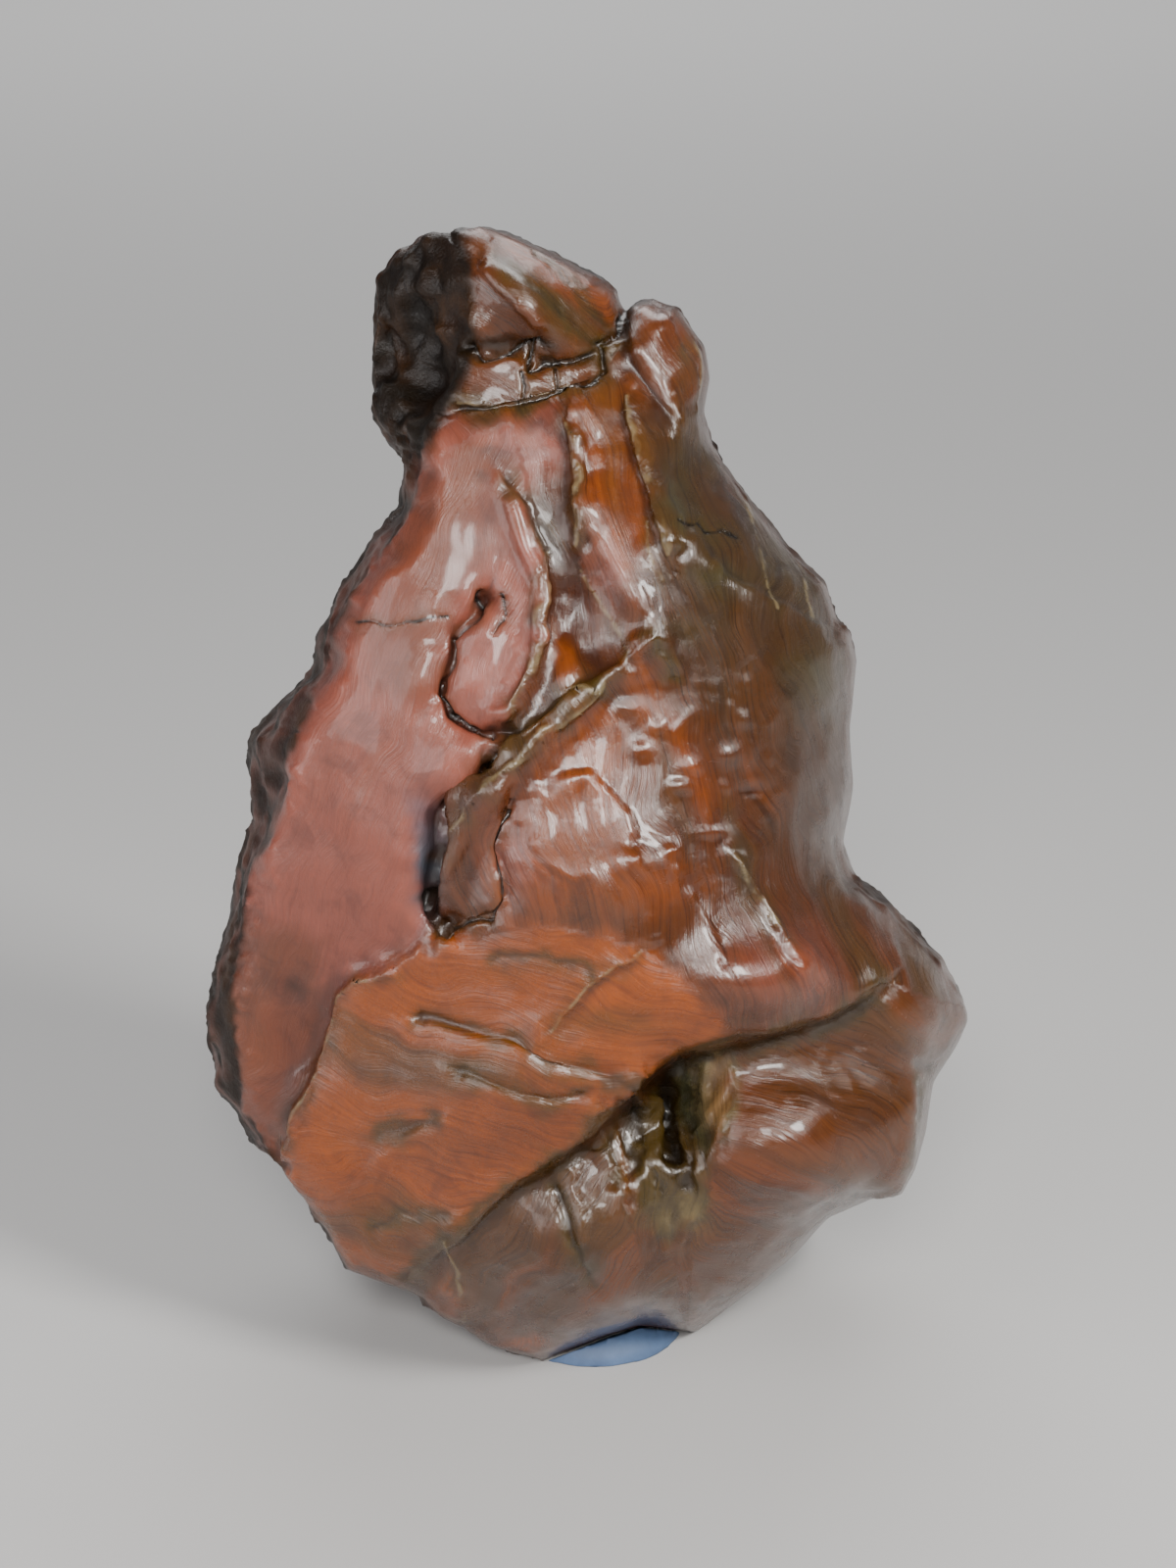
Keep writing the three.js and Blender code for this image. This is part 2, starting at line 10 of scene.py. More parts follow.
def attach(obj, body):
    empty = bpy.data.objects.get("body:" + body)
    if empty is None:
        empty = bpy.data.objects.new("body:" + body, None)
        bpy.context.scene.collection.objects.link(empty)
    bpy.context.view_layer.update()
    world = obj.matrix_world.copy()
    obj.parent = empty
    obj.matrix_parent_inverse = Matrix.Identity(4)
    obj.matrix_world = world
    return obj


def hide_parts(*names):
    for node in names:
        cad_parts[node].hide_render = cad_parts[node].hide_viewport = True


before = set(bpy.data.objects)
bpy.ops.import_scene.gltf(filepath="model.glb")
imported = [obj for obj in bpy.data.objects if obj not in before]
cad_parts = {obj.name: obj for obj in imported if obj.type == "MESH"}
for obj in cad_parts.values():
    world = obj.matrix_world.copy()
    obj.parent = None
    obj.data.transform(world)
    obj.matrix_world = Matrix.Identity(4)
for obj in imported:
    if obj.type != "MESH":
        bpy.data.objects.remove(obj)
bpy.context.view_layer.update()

# Lengths are in metres. The camera sees the stone as the photograph does: from the same angle, and with
# the stone as large in the picture. The shift follows the part's origin, the middle of its box.
MM = 0.001
PITCH = math.radians(20)
DISTANCE = 450 * MM
EYE_HEIGHT = 244 * MM
ORIGIN_SHIFT = Vector((0.2286, 4.0292, 0)) * MM
EYE = Vector((0, -DISTANCE * math.cos(PITCH), EYE_HEIGHT)) + ORIGIN_SHIFT
PICTURE = (1200, 1600)
PIXEL = 0.15 * MM
SENSOR = 36.0
LENS = SENSOR * DISTANCE / (PIXEL * PICTURE[1])

# The fine skin: how often the edges of the solid are halved, and the rounds of smoothing after it. Near
# the ridges and cracks they are halved once more within each of these reaches (pixels).
HALVINGS = 2
SMOOTH_ROUNDS = 4
PUTTY_ROUNDS = 3
REFINE_REACHES = (5, 1.6)
SAME_POINT = 1e-6

# What lies below these heights is the foot of the stone and of the putty, and stays flat.
FOOT_HEIGHT = 0.3 * MM
PUTTY_FOOT = 0.02 * MM

# How far a surface turns to the eye (cosine) where it begins to be seen and where it counts in full.
SEEN_FROM = 0.02
SEEN_FULLY = 0.3
MOSTLY_SEEN = 0.3

# Hollows and crests are told by how far the surface lies from its own smoothed copy.
# The material paints shade into the hollows and light onto the crests.
HOLLOW_ROUNDS = 12
HOLLOW_DEPTH = 0.35 * MM

# A distance from the nearest line (pixels) that stands for no line at all.
FAR = 99.0

# Heights of the relief that noise makes (mm): on the polished face, in the recess and on the crust.
SWELL = 0.4
STREAK = 0.22
FINE_STREAK = 0.1
CRACKLE = 0.14
FINE_CRACKLE = 0.03
PIMPLE = 0.22
SLAB_WAVE = 0.22
NIBBLE = 0.5
FIBRE = 0.7
FIBRE_GRAIN = 0.4
CRUST_CREST = 0.6
CRUST_LUMP = 0.5
CRUST_GRAIN = 0.3
CAVE = 1.8
CAVE_LUMP = 0.7

# Colours of the stone in sRGB, 0 to 255, some also painted shade and highlight; light and gloss make them
# paler.
RUST = (80, 37, 11)
BROWN = (52, 29, 10)
PINK = (120, 62, 49)
ORANGE = (122, 56, 6)
OLIVE = (50, 41, 12)
GREY_GREEN = (52, 57, 38)
# Pale grey of the ridges: partly the stone's pale veins, partly painted highlight on their edges.
CREAM_AND_HIGHLIGHT = (124, 110, 80)
# The crust's near-black, also used for painted shade in the hollows and cracks.
CRUST_AND_SHADE = (14, 8, 2)
CRUST_BROWN = (58, 34, 12)
# Near-black of painted shade under the neck crack, beside the fissure and in a dimple.
SHADE_SPOT = (30, 20, 16)
BLUE_GREY = (58, 68, 80)
SAND = (106, 92, 62)
LOBE = (70, 37, 10)
PUTTY = (76, 98, 130)
PUTTY_SHADE = (66, 86, 116)

# What the veins multiply the colour by, as light; also painted shade in hollows, painted light on crests.
DARKER = (0.42, 0.36, 0.34, 1)
LIGHTER = (1.5, 1.45, 1.4, 1)

# The studio, as light: a flat floor, half its width, and the glow from all around.
FLOOR_HALF = 8
FLOOR_COLOUR = (0.42, 0.415, 0.41, 1)
SKY_COLOUR = (0.85, 0.87, 0.92, 1)
SKY_STRENGTH = 0.2

# Lamps: name, place, size, power (watts), colour and the place that they are aimed at.
STONE_MIDDLE = (0, 0, 0.08)
LAMPS = [
    ("key", (0.48, -0.42, 0.54), 0.17, 8.0, (1, 0.98, 0.95), STONE_MIDDLE),
    ("front", (-0.03, -0.62, 0.44), 0.19, 5.0, (1, 0.98, 0.96), STONE_MIDDLE),
    ("left sheen", (-0.62, -0.36, 0.24), 0.40, 3.4, (1, 0.97, 0.98), STONE_MIDDLE),
    ("backdrop", (0, 2.4, 1.8), 2.5, 75.0, (1, 1, 1), (0, 2.2, 0)),
]

# Lines of the face in the photograph's pixels, each with how far it stands out (mm, negative for a
# crack) and its half width (pixels).
# Ridges drawn pale in the material: partly the stone's pale veins, partly painted highlight on their edges.
PALE_AND_HIGHLIT_RIDGES = [
    (0.18, 3, [(578, 431), (585, 450), (583, 464), (588, 486), (587, 513), (589, 535), (587, 555)]),
    (0.18, 3, [(639, 407), (644, 437), (650, 459), (658, 481), (666, 505), (674, 533), (681, 566)]),
    (0.09, 2, [(662, 535), (661, 552), (666, 577), (676, 592)]),
    (0.24, 3, [(558, 564), (555, 598), (551, 642), (549, 675), (534, 705), (520, 734)]),
    (0.24, 3, [(608, 707), (571, 738), (545, 757), (527, 779), (501, 805), (479, 831), (460, 853),
               (449, 886), (444, 916)]),
    (0.12, 3, [(571, 710), (608, 705), (627, 686), (642, 664)]),
    (0.15, 3, [(594, 583), (612, 612), (627, 635), (638, 660)]),
    (0.18, 3, [(406, 990), (368, 1000), (347, 1017), (342, 1048), (327, 1093), (303, 1134), (292, 1169)]),
    (0.12, 3, [(564, 1052), (585, 1024), (599, 1003), (626, 986), (654, 972)]),
    (0.12, 2, [(706, 343), (715, 365), (715, 398), (709, 426)]),
    (0.06, 1, [(757, 497), (771, 548), (790, 620)]),
    (0.06, 1, [(815, 570), (822, 600), (830, 630)]),
    (0.12, 3, [(748, 872), (765, 905), (790, 945), (797, 960)]),
    (0.09, 2, [(454, 1268), (468, 1296), (475, 1348)]),
    (0.09, 2, [(469, 413), (494, 414), (526, 408), (554, 404), (578, 392)]),
]
CRACKS = [
    (-1.6, 4, [(492, 609), (492, 627), (479, 642), (466, 653), (466, 675), (457, 694), (451, 712),
               (460, 731), (479, 744), (501, 749)]),
    (-0.4, 2, [(514, 605), (516, 631), (503, 647)]),
    (-2.4, 5, [(505, 771), (494, 790), (471, 801), (457, 816), (453, 831), (455, 856), (446, 886),
               (440, 916), (442, 941), (457, 953)]),
    (-0.5, 2, [(457, 953), (479, 941), (501, 938), (516, 919), (512, 886), (508, 860), (520, 827)]),
    (-0.8, 3, [(469, 418), (494, 419), (526, 413), (554, 409), (578, 397), (603, 391), (617, 382),
               (614, 365), (611, 352), (631, 341), (637, 316)]),
    (-1.2, 5, [(480, 354), (493, 365), (515, 359), (543, 357), (557, 352)]),
    (-0.9, 4, [(543, 357), (540, 379), (559, 371), (576, 371), (603, 365)]),
    (-0.5, 2, [(532, 379), (535, 393), (532, 409)]),
    (-0.5, 2, [(567, 376), (567, 398)]),
    (-0.15, 1, [(364, 634), (398, 638), (427, 634), (457, 629)]),
    (-0.2, 1, [(685, 535), (705, 538), (710, 535), (718, 544), (737, 541), (751, 549)]),
]
# Olive along the wrinkles: partly the stone's olive streaks, partly painted shade in the creases.
OLIVE_WRINKLES = [
    (-0.3, 3, [(504, 269), (526, 286), (554, 305), (573, 324), (598, 344), (609, 352)]),
    (-0.3, 3, [(548, 261), (581, 291), (600, 316), (622, 335)]),
    (-0.3, 4, [(668, 650), (684, 672), (688, 690)]),
    (-0.3, 4, [(568, 1213), (575, 1237), (588, 1272), (602, 1303)]),
    (-0.5, 5, [(430, 1036), (468, 1048), (495, 1057), (530, 1060), (557, 1083), (592, 1091),
               (626, 1101), (654, 1103)]),
    (-0.3, 5, [(468, 1091), (502, 1107), (530, 1119), (564, 1120), (592, 1113)]),
    (-0.3, 4, [(506, 977), (540, 974), (578, 981), (602, 990)]),
    (-0.3, 5, [(385, 1158), (412, 1153), (440, 1140)]),
    (-0.3, 5, [(382, 1255), (412, 1240), (455, 1240)]),
    (-0.3, 6, [(518, 486), (529, 519), (554, 544), (558, 564)]),
    (0.3, 7, [(601, 706), (560, 728), (523, 760), (500, 790)]),
    (-0.4, 5, [(413, 1303), (433, 1281), (468, 1253), (506, 1222), (547, 1198), (585, 1177),
               (602, 1157), (619, 1133)]),
    (-0.4, 6, [(681, 1088), (719, 1071), (760, 1060), (803, 1056), (842, 1042), (877, 1027), (902, 998)]),
]

# How the fine streaks run: a direction in the picture, and the outline (pixels) that it holds for. The
# first direction is for the rest of the stone.
STREAM = (0.3, 1)
STREAMS = [
    ((-0.4, 1), [(412, 480), (520, 430), (556, 560), (500, 755), (440, 950), (350, 1010), (290, 1190),
                 (190, 1150), (190, 1000), (240, 780), (330, 620)]),
    ((1, 0.62), [(470, 225), (640, 290), (640, 345), (600, 395), (470, 420)]),
    ((1, 0.28), [(445, 960), (560, 945), (650, 965), (700, 1000), (750, 1055), (650, 1108),
                 (562, 1188), (405, 1312), (340, 1290), (288, 1195), (340, 1060), (350, 1010)]),
    ((0.7, -1), [(405, 1312), (470, 1255), (562, 1188), (610, 1150), (660, 1110), (700, 1350),
                 (540, 1400)]),
    ((1, 0.45), [(710, 1090), (750, 1063), (850, 1040), (900, 1003), (990, 1030), (930, 1230),
                 (700, 1370)]),
    ((0.05, 1), [(610, 1140), (660, 1100), (745, 1070), (752, 1120), (720, 1230), (660, 1300)]),
]

# Steps in the surface: height (mm), how wide the steep and the gentle flank are (pixels), and the line.
# The gentle flank is on the right hand of one who walks along the line in the picture.
STEPS = [
    (1.6, 3, 34, [(553, 345), (536, 322), (516, 300), (497, 283), (486, 270)]),
    (0.9, 3, 20, [(600, 392), (560, 408), (526, 413), (494, 419), (469, 421)]),
    (0.9, 3, 26, [(594, 555), (590, 513), (587, 470), (581, 430)]),
    (0.9, 3, 30, [(686, 570), (674, 533), (658, 481), (644, 437), (640, 407)]),
    (1.0, 3, 22, [(520, 500), (540, 535), (553, 566), (556, 600), (552, 642), (545, 680), (530, 712),
                  (507, 742)]),
    (1.1, 3, 30, [(452, 700), (466, 675), (468, 650), (492, 627), (497, 612)]),
    (1.0, 3, 26, [(438, 920), (446, 886), (455, 856), (453, 831), (471, 801), (494, 790), (505, 771),
                  (545, 745), (600, 706), (640, 672)]),
    (0.9, 3, 24, [(519, 830), (510, 856), (516, 919), (500, 938)]),
    (1.0, 4, 40, [(290, 1190), (303, 1134), (330, 1090), (342, 1048), (350, 1013), (368, 1000),
                  (406, 985), (440, 962)]),
    (0.6, 3, 24, [(654, 972), (626, 986), (599, 1003), (585, 1024), (564, 1052)]),
    (0.5, 4, 22, [(430, 1040), (468, 1050), (530, 1062), (592, 1091), (654, 1105)]),
    (0.5, 4, 20, [(468, 1093), (502, 1109), (530, 1121), (564, 1122), (592, 1115)]),
    (0.4, 4, 20, [(370, 1200), (400, 1170), (440, 1145)]),
    (0.4, 4, 20, [(382, 1262), (412, 1242), (455, 1238)]),
    (0.7, 3, 26, [(820, 1000), (797, 960), (775, 915), (748, 872)]),
    (0.5, 3, 22, [(700, 900), (720, 940), (740, 985)]),
    (0.6, 3, 24, [(560, 800), (600, 790), (640, 830), (648, 862)]),
    (0.5, 3, 20, [(600, 905), (560, 880), (535, 850)]),
    (0.7, 4, 24, [(850, 600), (820, 570), (790, 530), (757, 497)]),
    (0.6, 4, 24, [(700, 540), (740, 590), (800, 620), (850, 650)]),
    (0.7, 3, 18, [(672, 316), (690, 345), (706, 375), (712, 410)]),
    (0.8, 4, 22, [(938, 1088), (925, 1120), (922, 1160), (906, 1222)]),
    (0.6, 3, 18, [(590, 1180), (584, 1210), (596, 1240), (600, 1275)]),
    (0.5, 3, 18, [(500, 1345), (520, 1322), (548, 1300)]),
    (0.6, 3, 20, [(450, 1330), (462, 1290), (455, 1262)]),
    (0.5, 3, 20, [(700, 1280), (712, 1310), (720, 1340)]),
    (1.4, 4, 20, [(660, 1108), (668, 1150), (672, 1200)]),
    (1.0, 4, 16, [(706, 1190), (698, 1150), (686, 1110)]),
    (0.9, 4, 18, [(618, 1140), (632, 1180), (640, 1230)]),
]

# Painted shade in dark hollows and cracks, in the crust's colour: centre and half widths (pixels).
SHADES = [
    ((681, 1130), (9, 46)), ((690, 1180), (12, 20)), ((645, 1125), (10, 20)), ((555, 352), (18, 8)),
    ((500, 352), (20, 8)), ((440, 360), (14, 22)), ((425, 330), (12, 30)), ((447, 920), (6, 30)),
    ((458, 822), (8, 14)), ((640, 332), (6, 22)),
]

# The pink slab on the left, the cape below it and the dark right side (pixels), its brown partly painted
# shade.
SLAB = [(462, 432), (560, 425), (572, 470), (535, 510), (556, 560), (551, 640), (534, 705), (500, 755),
        (455, 830), (440, 950), (400, 985), (350, 1010), (335, 1060), (290, 1140), (288, 1200),
        (190, 1150), (190, 1000), (240, 780), (330, 620), (410, 480)]
CAPE = [(445, 960), (560, 945), (650, 965), (700, 1000), (750, 1055), (650, 1108), (610, 1150),
        (562, 1188), (470, 1255), (405, 1312), (340, 1290), (288, 1195), (340, 1060), (350, 1010)]
RIGHT_SIDE = [(660, 420), (740, 440), (900, 620), (900, 960), (820, 900), (740, 760), (660, 640)]

# Areas of one colour: colour, how strongly it covers, softness of the edge and outline (pixels).
AREAS = [
    (PINK, 0.9, 16, SLAB),
    (RUST, 0.6, 22, [(470, 440), (530, 470), (520, 560), (470, 600), (430, 640), (380, 640), (400, 560)]),
    (RUST, 0.55, 18, [(365, 640), (460, 636), (450, 700), (430, 720), (380, 690)]),
    (RUST, 0.7, 20, [(240, 930), (330, 960), (335, 1060), (290, 1190), (215, 1150), (205, 1040)]),
    (ORANGE, 0.95, 14, CAPE),
    (ORANGE, 0.7, 20, [(590, 400), (640, 400), (670, 560), (640, 600), (600, 520)]),
    (ORANGE, 0.6, 16, [(500, 235), (640, 300), (636, 330), (560, 300), (500, 262)]),
    (ORANGE, 0.5, 26, [(560, 745), (640, 735), (640, 860), (560, 940), (520, 900)]),
    # Brown of the right side: partly its own colour, partly painted shade of the side turned from the light.
    (BROWN, 0.85, 40, RIGHT_SIDE),
    (BROWN, 0.8, 24, [(740, 600), (800, 600), (860, 700), (850, 860), (790, 860), (740, 760)]),
    (OLIVE, 0.25, 30, [(690, 520), (800, 520), (870, 640), (860, 760), (780, 700), (700, 640)]),
    (LOBE, 0.85, 16, [(405, 1312), (470, 1255), (562, 1188), (610, 1150), (660, 1110), (700, 1350),
                      (540, 1400)]),
    (LOBE, 0.8, 18, [(690, 1080), (750, 1063), (850, 1040), (900, 1003), (990, 1030), (930, 1230),
                     (700, 1370)]),
    (OLIVE, 0.85, 10, [(606, 1165), (645, 1108), (690, 1086), (745, 1070), (752, 1120), (735, 1180),
                       (718, 1240), (680, 1270), (630, 1220)]),
    (GREY_GREEN, 0.8, 8, [(685, 1088), (745, 1068), (752, 1118), (745, 1155), (722, 1180), (700, 1140)]),
    (SAND, 0.8, 8, [(706, 1086), (745, 1070), (752, 1118), (745, 1150), (726, 1160), (712, 1130)]),
    (OLIVE, 0.7, 5, [(936, 1086), (962, 1092), (945, 1160), (918, 1224), (905, 1220), (922, 1150)]),
    (OLIVE, 0.5, 10, [(690, 1072), (850, 1037), (870, 1046), (760, 1078)]),
]

# Places that have a surface of their own (pixels).
HEAD_HOLLOW = [(370, 232), (488, 225), (480, 262), (486, 300), (488, 345), (474, 400), (455, 425),
               (430, 470), (415, 520), (370, 450)]
PIMPLES = [(620, 690), (700, 640), (800, 700), (830, 800), (740, 860), (640, 800)]
RECESS = [(600, 1130), (650, 1095), (700, 1080), (745, 1070), (752, 1140), (730, 1190), (715, 1250),
          (680, 1290), (620, 1230)]
SLAB_EDGE = [(412, 500), (385, 560), (350, 640), (318, 720), (288, 800), (262, 880), (246, 960),
             (240, 1040), (250, 1130), (290, 1190)]
LEFT_WALL = SLAB_EDGE + [(330, 1300), (100, 1300), (100, 480), (412, 480)]
LOBES = [(405, 1312), (562, 1188), (610, 1150), (690, 1080), (850, 1037), (903, 1000), (1000, 1040),
         (940, 1240), (700, 1380), (560, 1410)]
CRACKLED = [
    [(735, 1065), (850, 1035), (905, 1005), (925, 1060), (900, 1130), (820, 1150), (750, 1150)],
    [(500, 1235), (560, 1190), (612, 1180), (610, 1300), (540, 1320), (480, 1290)],
]

# Round patches: colour, strength, centre, half widths (pixels).
PATCHES = [
    # Painted shade: the near-black spots under the neck crack, beside the fissure and in a dimple.
    (SHADE_SPOT, 0.8, (510, 467), (22, 10)), (SHADE_SPOT, 0.75, (550, 436), (16, 8)),
    (SHADE_SPOT, 0.5, (489, 490), (8, 6)), (SHADE_SPOT, 0.55, (298, 1010), (18, 16)),
    (SHADE_SPOT, 0.4, (470, 650), (14, 20)), (SHADE_SPOT, 0.3, (505, 610), (16, 14)),
    (BLUE_GREY, 0.95, (438, 880), (14, 60)), (BLUE_GREY, 0.4, (425, 820), (14, 14)),
    (GREY_GREEN, 0.55, (700, 350), (12, 34)), (GREY_GREEN, 0.5, (684, 520), (10, 44)),
    (GREY_GREEN, 0.45, (735, 590), (34, 16)), (GREY_GREEN, 0.4, (800, 560), (18, 46)),
    (GREY_GREEN, 0.4, (830, 690), (28, 30)), (OLIVE, 0.5, (720, 460), (22, 40)),
    (OLIVE, 0.35, (790, 700), (60, 40)), (OLIVE, 0.4, (690, 640), (40, 14)),
    (OLIVE, 0.5, (620, 1045), (60, 14)), (OLIVE, 0.4, (520, 1085), (60, 14)),
    (OLIVE, 0.35, (560, 990), (50, 12)), (RUST, 0.6, (500, 1170), (70, 22)),
    (BROWN, 0.35, (420, 1090), (60, 26)), (RUST, 0.6, (560, 1130), (50, 40)),
    (OLIVE, 0.3, (400, 1160), (40, 14)), (RUST, 0.4, (360, 1230), (40, 30)),
    (OLIVE, 0.35, (590, 1230), (26, 50)), (RUST, 0.7, (680, 350), (14, 40)),
    (ORANGE, 0.7, (465, 1330), (14, 26)), (ORANGE, 0.8, (530, 1372), (34, 9)),
    (RUST, 0.6, (800, 1180), (70, 36)), (RUST, 0.5, (760, 1110), (24, 20)),
    # The brown patch at (785, 700) is partly the right side's colour, partly painted shade.
    (BROWN, 0.8, (785, 700), (30, 110)), (RUST, 0.5, (700, 800), (70, 40)),
    (ORANGE, 0.5, (660, 905), (60, 30)), (PINK, 0.5, (620, 590), (24, 40)),
    # The pink patch at (800, 985) is a painted sheen on the belly.
    (PINK, 0.45, (800, 985), (60, 40)), (PINK, 0.4, (505, 690), (30, 40)),
    (PINK, 0.55, (470, 775), (34, 18)), (PINK, 0.35, (530, 470), (30, 30)),
    (PINK, 0.6, (520, 880), (26, 50)), (SAND, 0.45, (700, 1240), (26, 22)),
    (RUST, 0.5, (515, 380), (26, 18)), (ORANGE, 0.5, (590, 345), (18, 10)),
]

# Small knobs and dimples of the face: centre (pixels), half widths (pixels), rise (mm).
KNOBS = [
    ((693, 802), (11, 7), 0.7), ((744, 770), (12, 9), 0.6), ((706, 782), (10, 8), 0.5),
    ((655, 765), (12, 9), 0.5), ((640, 722), (12, 7), 0.5), ((672, 742), (9, 7), 0.4),
    ((725, 850), (18, 6), 0.4), ((770, 808), (13, 6), -0.7), ((758, 735), (9, 7), 0.4),
    ((684, 868), (8, 7), 0.6), ((651, 655), (10, 10), 1.1), ((604, 1166), (11, 9), 1.2),
    ((435, 385), (16, 22), -2.0), ((470, 255), (16, 12), 1.6), ((410, 300), (10, 24), 1.2),
    ((455, 335), (9, 8), 1.2), ((400, 400), (12, 16), 1.0), ((447, 300), (8, 16), -1.2),
    ((425, 345), (10, 10), -1.0), ((415, 440), (9, 9), 1.0), ((575, 640), (14, 46), -0.7),
    ((600, 670), (16, 14), -0.6), ((800, 990), (40, 30), 0.8), ((650, 880), (30, 14), 0.7),
    ((578, 690), (20, 34), 2.4), ((525, 345), (36, 26), -1.2), ((470, 800), (26, 22), 2.0),
    ((560, 1090), (70, 40), 1.2), ((640, 520), (40, 60), 1.0), ((470, 775), (26, 14), 0.6),
    ((830, 1165), (95, 62), 3.2), ((780, 1010), (60, 30), 1.2), ((300, 1010), (20, 18), -0.8),
    ((430, 700), (22, 24), 0.7),
]


def linear(colour):
    """A colour of 0 to 255 as light."""
    share = np.asarray(colour, float) / 255
    return np.where(share <= 0.04045, share / 12.92, ((share + 0.055) / 1.055) ** 2.4)


def ease(values, low, high):
    """0 below low, 1 above high, and a smooth rise between them."""
    share = np.clip((values - low) / (high - low), 0, 1)
    return share * share * (3 - 2 * share)


def pixels_of(points):
    """Where the photograph shows points, in its pixels."""
    offset = points - np.array(EYE)
    ahead = offset[:, 1] * math.cos(PITCH) - offset[:, 2] * math.sin(PITCH)
    up = offset[:, 1] * math.sin(PITCH) + offset[:, 2] * math.cos(PITCH)
    scale = DISTANCE / PIXEL / ahead
    return np.stack([PICTURE[0] / 2 + offset[:, 0] * scale, PICTURE[1] / 2 - up * scale], axis=1)


def line_distance(spots, line):
    """Distance from spots to a line of points."""
    best = np.full(len(spots), np.inf)
    for a, b in zip(line, line[1:]):
        a, side = np.array(a, float), np.subtract(b, a)
        share = np.clip((spots - a) @ side / (side @ side), 0, 1)
        best = np.minimum(best, np.linalg.norm(spots - a - share[:, None] * side, axis=1))
    return best


def within(spots, outline):
    """True for the spots inside an outline."""
    inside = np.zeros(len(spots), bool)
    x, y = spots.T
    for (ax, ay), (bx, by) in zip(outline, outline[1:] + outline[:1]):
        if ay == by:
            continue
        crosses = ((ay > y) != (by > y)) & (x < ax + (y - ay) * (bx - ax) / (by - ay))
        inside ^= crosses
    return inside


def area_share(spots, outline, soft):
    """1 inside an outline, 0 outside, with an edge as wide as soft."""
    distance = line_distance(spots, outline + outline[:1])
    return ease(np.where(within(spots, outline), distance, -distance), -soft, soft)


def line_share(spots, line, width):
    """1 on a line, fading out over width (pixels)."""
    return np.exp(-(line_distance(spots, line) / width) ** 2)


def patch_share(spots, centre, half):
    """1 at a centre, fading out over the half widths (pixels)."""
    return np.exp(-(((spots - centre) / half) ** 2).sum(axis=1))


def wander(points, size, seed):
    """Smooth noise from -1 to 1 at points in metres; size is that of its lumps, in mm."""
    start = Vector((seed * 7.3, seed * 3.1, seed * 5.7))
    scaled = points / (size * MM)
    return np.array([noise.noise(Vector(p) + start) for p in scaled])


def fine_copy(node, name, halvings):
    """A new object with a node's surface in finer triangles."""
    mesh = bpy.data.meshes.new(name)
    bm = bmesh.new()
    bm.from_mesh(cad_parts[node].data)
    bmesh.ops.remove_doubles(bm, verts=bm.verts, dist=SAME_POINT)
    for _ in range(halvings):
        bmesh.ops.subdivide_edges(bm, edges=bm.edges, cuts=1, use_grid_fill=True)
    bmesh.ops.triangulate(bm, faces=bm.faces)
    bm.to_mesh(mesh)
    bm.free()
    piece = bpy.data.objects.new(name, mesh)
    bpy.context.scene.collection.objects.link(piece)
    return piece


def refine(mesh, lines, reach):
    """Halve the edges of the seen face that lie within reach of the lines (pixels)."""
    points = places(mesh)
    seen = seen_share(points, normals(mesh)) > MOSTLY_SEEN
    close = np.zeros(len(points), bool)
    close[seen] = nearest_of(pixels_of(points[seen]), lines) < reach
    bm = bmesh.new()
    bm.from_mesh(mesh)
    edges = [edge for edge in bm.edges if close[edge.verts[0].index] and close[edge.verts[1].index]]
    bmesh.ops.subdivide_edges(bm, edges=edges, cuts=1)
    bmesh.ops.triangulate(bm, faces=bm.faces)
    bm.to_mesh(mesh)
    bm.free()
    mesh.update()


def read(values, name, width):
    """A named value of each vertex, one row for each."""
    flat = np.empty(len(values) * width)
    values.foreach_get(name, flat)
    return flat.reshape(-1, width)


def places(mesh):
    return read(mesh.vertices, "co", 3)


def put_places(mesh, points):
    mesh.vertices.foreach_set("co", points.ravel())
    mesh.update()


def smoothed(mesh, points, rounds, weight=0.5):
    """Points moved towards the mean of their neighbours, by a share of weight in each round."""
    edges = np.empty(len(mesh.edges) * 2, int)
    mesh.edges.foreach_get("vertices", edges)
    both = np.concatenate([edges.reshape(-1, 2), edges.reshape(-1, 2)[:, ::-1]])
    here, there = both.T
    size = len(points)
    count = np.bincount(here, minlength=size)
    for _ in range(rounds):
        total = [np.bincount(here, weights=points[there, k], minlength=size) for k in range(3)]
        points = points + weight * (np.stack(total, axis=1) / count[:, None] - points)
    return points


def normals(mesh):
    return read(mesh.vertex_normals, "vector", 3)


def store(mesh, name, kind, values):
    """Keep a value of each vertex for the material to read."""
    layer = mesh.attributes.new(name, kind, "POINT")
    key = "color" if kind == "FLOAT_COLOR" else "value"
    layer.data.foreach_set(key, np.ascontiguousarray(values).ravel())


def shade_smooth(mesh):
    for polygon in mesh.polygons:
        polygon.use_smooth = True


def seen_share(points, facing):
    """1 where the surface faces the photograph's eye, 0 where it faces away."""
    sight = np.array(EYE) - points
    sight /= np.linalg.norm(sight, axis=1)[:, None]
    return ease((facing * sight).sum(axis=1), SEEN_FROM, SEEN_FULLY)


def crust_share(points, spots, facing, seen):
    """1 on the rough crust: the left wall, the hollow of the head and the back."""
    ragged = 0.12 * wander(points, size=5, seed=9)
    beside = ease(-facing[:, 0] + ragged, 0.42, 0.62) * ease(facing[:, 1], -0.62, -0.35) * (1 - 0.9 * seen)
    frayed = fray(points, spots, 4)
    left = np.maximum(beside, area_share(frayed, LEFT_WALL, 3) * seen)
    hollow = area_share(frayed, HEAD_HOLLOW, 5) * seen
    behind = ease(facing[:, 1] + ragged, -0.1, 0.25)
    return np.clip(np.maximum.reduce([left, hollow, behind]), 0, 1)


